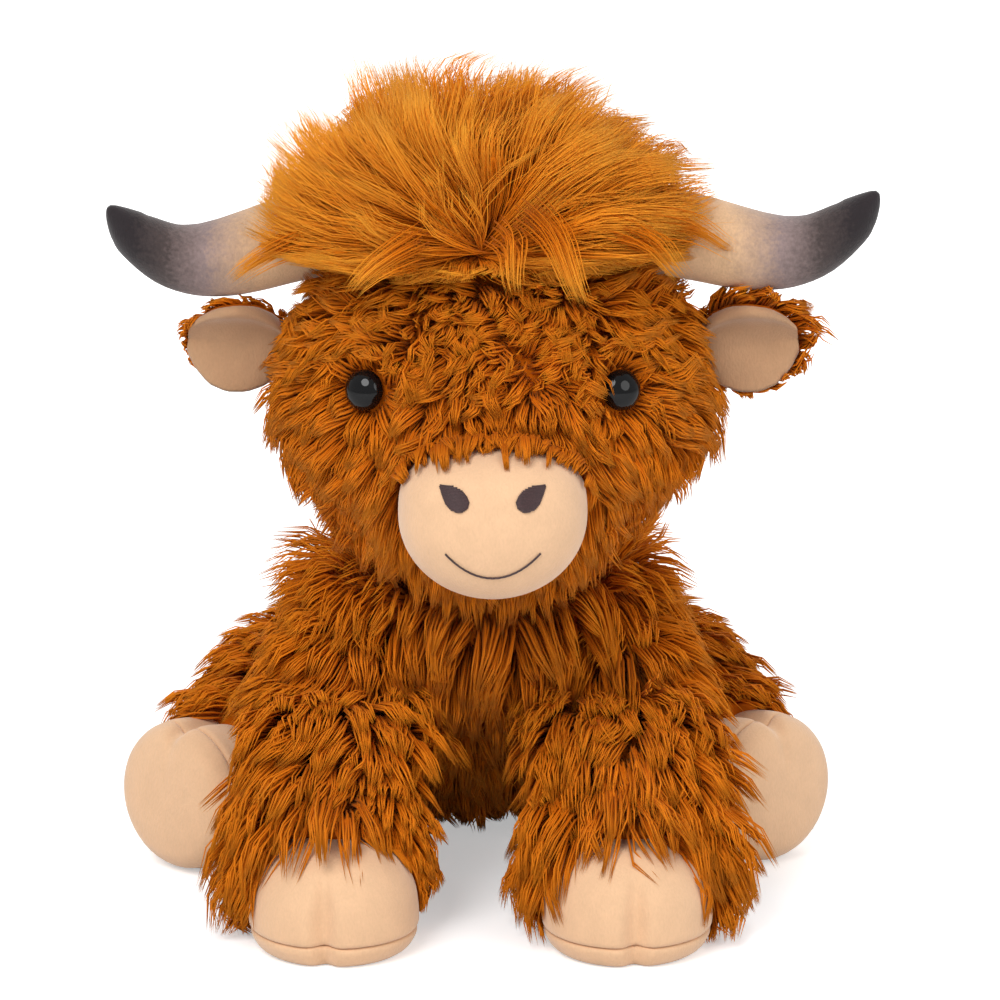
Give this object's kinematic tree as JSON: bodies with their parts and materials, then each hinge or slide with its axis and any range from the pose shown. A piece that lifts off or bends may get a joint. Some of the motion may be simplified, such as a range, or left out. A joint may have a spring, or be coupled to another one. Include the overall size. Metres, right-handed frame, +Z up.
{
  "type": "plush cow",
  "caption": "Seated long-haired toy cow, sewn from fur fabric and stuffed, with horns, short-pile muzzle and cloven hooves, turning head and swinging limbs.",
  "frame": {"origin": "on the floor, under the middle of the cow's box", "axes": "+Z up, the cow faces -Y, +X is on the right of someone who looks at its face"},
  "size_m": [0.2654, 0.2736, 0.291],
  "materials": {
    "body_fur": "long brown pile",
    "long_hair": "long golden brown hair",
    "short_pile": "short peach pile",
    "horn_fabric": "short pile, airbrushed from cream at the root to near black at the tip",
    "filling": "polyester fibre",
    "pellets": "cloth pouch of pellets",
    "thread": "satin stitch",
    "eye": "polished",
    "washer": "moulded"
  },
  "bodies": {
    "torso": {"torso_fur_shell": "body_fur", "torso_stuffing": "filling", "seat_pellet_pouch": "pellets"},
    "head": {"head_fur_shell": "body_fur", "head_stuffing": "filling", "muzzle_cover": "short_pile", "muzzle_stuffing": "filling", "nostril_left": "thread", "nostril_right": "thread", "smile_stitch": "thread", "eye_left": "eye", "eye_right": "eye", "eye_washer_left": "washer", "eye_washer_right": "washer", "horn_left": "horn_fabric", "horn_right": "horn_fabric", "horn_stuffing_left": "filling", "horn_stuffing_right": "filling", "forelock_patch": "body_fur", "forelock_hair": "long_hair"},
    "tail": {"tail_fur": "body_fur", "tail_tassel": "long_hair"},
    "ear_left": {"ear_back_left": "body_fur", "ear_lining_left": "short_pile"},
    "front_leg_left": {"front_leg_fur_left": "body_fur", "front_leg_stuffing_left": "filling", "front_hoof_upper_left": "short_pile", "front_hoof_sole_left": "short_pile"},
    "hind_leg_left": {"hind_leg_fur_left": "body_fur", "hind_leg_stuffing_left": "filling", "hind_hoof_upper_left": "short_pile", "hind_hoof_sole_left": "short_pile"},
    "ear_right": {"ear_back_right": "body_fur", "ear_lining_right": "short_pile"},
    "front_leg_right": {"front_leg_fur_right": "body_fur", "front_leg_stuffing_right": "filling", "front_hoof_upper_right": "short_pile", "front_hoof_sole_right": "short_pile"},
    "hind_leg_right": {"hind_leg_fur_right": "body_fur", "hind_leg_stuffing_right": "filling", "hind_hoof_upper_right": "short_pile", "hind_hoof_sole_right": "short_pile"}
  },
  "joints": [
    {"name": "neck_turn", "type": "hinge", "parent": "torso", "child": "head", "pos_m": [0.00137, -0.03949, 0.108], "axis": [0, 0, 1], "range_deg": [-20, 20], "stiffness_Nm_per_rad": 0.4},
    {"name": "ear_fold_left", "type": "hinge", "parent": "head", "child": "ear_left", "pos_m": [-0.07385, -0.04203, 0.19728], "axis": [0, 0, 1], "range_deg": [-20, 20], "stiffness_Nm_per_rad": 0.02},
    {"name": "front_leg_lift_left", "type": "hinge", "parent": "torso", "child": "front_leg_left", "pos_m": [-0.04863, -0.03349, 0.077], "axis": [-1, 0, 0], "range_deg": [0, 30], "stiffness_Nm_per_rad": 1.5},
    {"name": "hind_leg_splay_left", "type": "hinge", "parent": "torso", "child": "hind_leg_left", "pos_m": [-0.05463, 0.05051, 0.046], "axis": [0, 0, -1], "range_deg": [0, 25], "stiffness_Nm_per_rad": 1},
    {"name": "ear_fold_right", "type": "hinge", "parent": "head", "child": "ear_right", "pos_m": [0.07658, -0.04203, 0.19728], "axis": [0, 0, 1], "range_deg": [-20, 20], "stiffness_Nm_per_rad": 0.02},
    {"name": "front_leg_lift_right", "type": "hinge", "parent": "torso", "child": "front_leg_right", "pos_m": [0.04537, -0.03349, 0.077], "axis": [-1, 0, 0], "range_deg": [0, 30], "stiffness_Nm_per_rad": 1.5},
    {"name": "hind_leg_splay_right", "type": "hinge", "parent": "torso", "child": "hind_leg_right", "pos_m": [0.05137, 0.05051, 0.046], "axis": [0, 0, 1], "range_deg": [0, 25], "stiffness_Nm_per_rad": 1},
    {"name": "tail_swing", "type": "hinge", "parent": "torso", "child": "tail", "pos_m": [-0.00163, 0.10244, 0.05], "axis": [0, 1, 0], "range_deg": [-35, 35], "stiffness_Nm_per_rad": 0.02}
  ]
}
